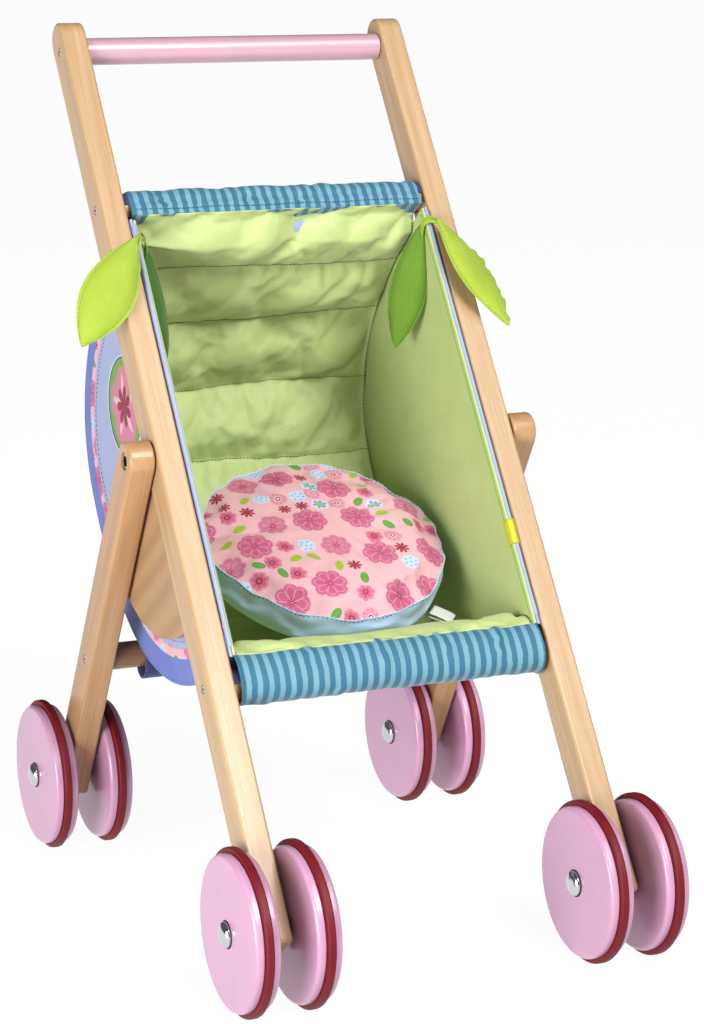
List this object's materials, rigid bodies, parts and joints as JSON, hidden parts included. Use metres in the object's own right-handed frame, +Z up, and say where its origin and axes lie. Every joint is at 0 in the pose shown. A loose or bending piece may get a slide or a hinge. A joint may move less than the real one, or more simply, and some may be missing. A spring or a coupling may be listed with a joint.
{
  "type": "doll stroller",
  "caption": "Toy stroller for a doll: leaning beech side beams with a push handle, folding rear legs, paired wooden wheels with rubber tyres and a sewn bucket seat with a cushion.",
  "frame": {"origin": "on the ground, under the middle of the stroller's box", "axes": "+Z up; the seat faces -Y and the handle is towards +Y; X is the width"},
  "size_m": [0.3316, 0.4343, 0.5584],
  "materials": {
    "beech": "clear satin lacquer on straight-grained beech",
    "dowel": "turned beech, clear lacquer",
    "pink_handle": "beech with pink satin paint",
    "plywood": "beech plywood, clear lacquer",
    "pink_wheel": "wooden disc with pink satin paint",
    "tyre": "dark red matt rubber",
    "chrome": "polished chrome",
    "steel": "zinc-plated steel",
    "lavender_fabric": "plain woven cotton on a stiff interlining, with bound edges",
    "green_fabric": "plain woven cotton with a slight sheen, quilted over wadding",
    "striped_fabric": "woven cotton with teal stripes",
    "strap": "lavender cotton strap backed with navy hook tape",
    "flower_fabric": "printed cotton top, light blue satin side",
    "lime_fabric": "padded cotton",
    "leaf_fabric": "padded cotton"
  },
  "bodies": {
    "frame": {"axle_front_left": "chrome", "axle_front_right": "chrome", "beam_left": "beech", "beam_right": "beech", "front_bar": "dowel", "front_bar_screw_left": "steel", "front_bar_screw_right": "steel", "front_casing": "striped_fabric", "guard_plate_left": "plywood", "guard_plate_right": "plywood", "handle_bar": "pink_handle", "handle_screw_left": "steel", "handle_screw_right": "steel", "hub_front_left": "chrome", "hub_front_right": "chrome", "leaf_inner_left": "leaf_fabric", "leaf_inner_right": "leaf_fabric", "leaf_outer_left": "lime_fabric", "leaf_outer_right": "lime_fabric", "pivot_bolt_left": "chrome", "pivot_bolt_right": "chrome", "pivot_nut_left": "chrome", "pivot_nut_right": "chrome", "pivot_washer_left": "steel", "pivot_washer_right": "steel", "seat_liner": "green_fabric", "side_panel_left": "lavender_fabric", "side_panel_right": "lavender_fabric", "top_bar": "dowel", "top_bar_screw_left": "steel", "top_bar_screw_right": "steel", "top_casing": "striped_fabric"},
    "rear_legs": {"axle_rear_left": "chrome", "axle_rear_right": "chrome", "crossbar_screw_left": "steel", "crossbar_screw_right": "steel", "hub_rear_left": "chrome", "hub_rear_right": "chrome", "rear_crossbar": "dowel", "rear_leg_left": "beech", "rear_leg_right": "beech", "rear_strap": "strap"},
    "wheel_front_left_outer": {"wheel_front_left_outer": "pink_wheel", "tyre_front_left_outer": "tyre"},
    "wheel_front_left_inner": {"wheel_front_left_inner": "pink_wheel", "tyre_front_left_inner": "tyre"},
    "wheel_front_right_outer": {"wheel_front_right_outer": "pink_wheel", "tyre_front_right_outer": "tyre"},
    "wheel_front_right_inner": {"wheel_front_right_inner": "pink_wheel", "tyre_front_right_inner": "tyre"},
    "wheel_rear_left_outer": {"wheel_rear_left_outer": "pink_wheel", "tyre_rear_left_outer": "tyre"},
    "wheel_rear_left_inner": {"wheel_rear_left_inner": "pink_wheel", "tyre_rear_left_inner": "tyre"},
    "wheel_rear_right_outer": {"wheel_rear_right_outer": "pink_wheel", "tyre_rear_right_outer": "tyre"},
    "wheel_rear_right_inner": {"wheel_rear_right_inner": "pink_wheel", "tyre_rear_right_inner": "tyre"},
    "cushion": {"seat_cushion": "flower_fabric"}
  },
  "joints": [
    {"name": "fold", "type": "hinge", "parent": "frame", "child": "rear_legs", "pos_m": [0, 0.01937, 0.29826], "axis": [-1, 0, 0], "range_deg": [0, 50]},
    {"name": "spin_front_left_outer", "type": "hinge", "parent": "frame", "child": "wheel_front_left_outer", "pos_m": [-0.13475, -0.16594, 0.051], "axis": [1, 0, 0], "continuous": true},
    {"name": "spin_front_left_inner", "type": "hinge", "parent": "frame", "child": "wheel_front_left_inner", "pos_m": [-0.09625, -0.16594, 0.051], "axis": [1, 0, 0], "continuous": true},
    {"name": "spin_front_right_outer", "type": "hinge", "parent": "frame", "child": "wheel_front_right_outer", "pos_m": [0.13475, -0.16594, 0.051], "axis": [1, 0, 0], "continuous": true},
    {"name": "spin_front_right_inner", "type": "hinge", "parent": "frame", "child": "wheel_front_right_inner", "pos_m": [0.09625, -0.16594, 0.051], "axis": [1, 0, 0], "continuous": true},
    {"name": "spin_rear_left_outer", "type": "hinge", "parent": "rear_legs", "child": "wheel_rear_left_outer", "pos_m": [-0.15275, 0.15706, 0.051], "axis": [1, 0, 0], "continuous": true},
    {"name": "spin_rear_left_inner", "type": "hinge", "parent": "rear_legs", "child": "wheel_rear_left_inner", "pos_m": [-0.11425, 0.15706, 0.051], "axis": [1, 0, 0], "continuous": true},
    {"name": "spin_rear_right_outer", "type": "hinge", "parent": "rear_legs", "child": "wheel_rear_right_outer", "pos_m": [0.15275, 0.15706, 0.051], "axis": [1, 0, 0], "continuous": true},
    {"name": "spin_rear_right_inner", "type": "hinge", "parent": "rear_legs", "child": "wheel_rear_right_inner", "pos_m": [0.11425, 0.15706, 0.051], "axis": [1, 0, 0], "continuous": true},
    {"name": "cushion_lift", "type": "slide", "parent": "frame", "child": "cushion", "axis": [0, -0.8002, 0.5997], "range_m": [0, 0.15]}
  ]
}
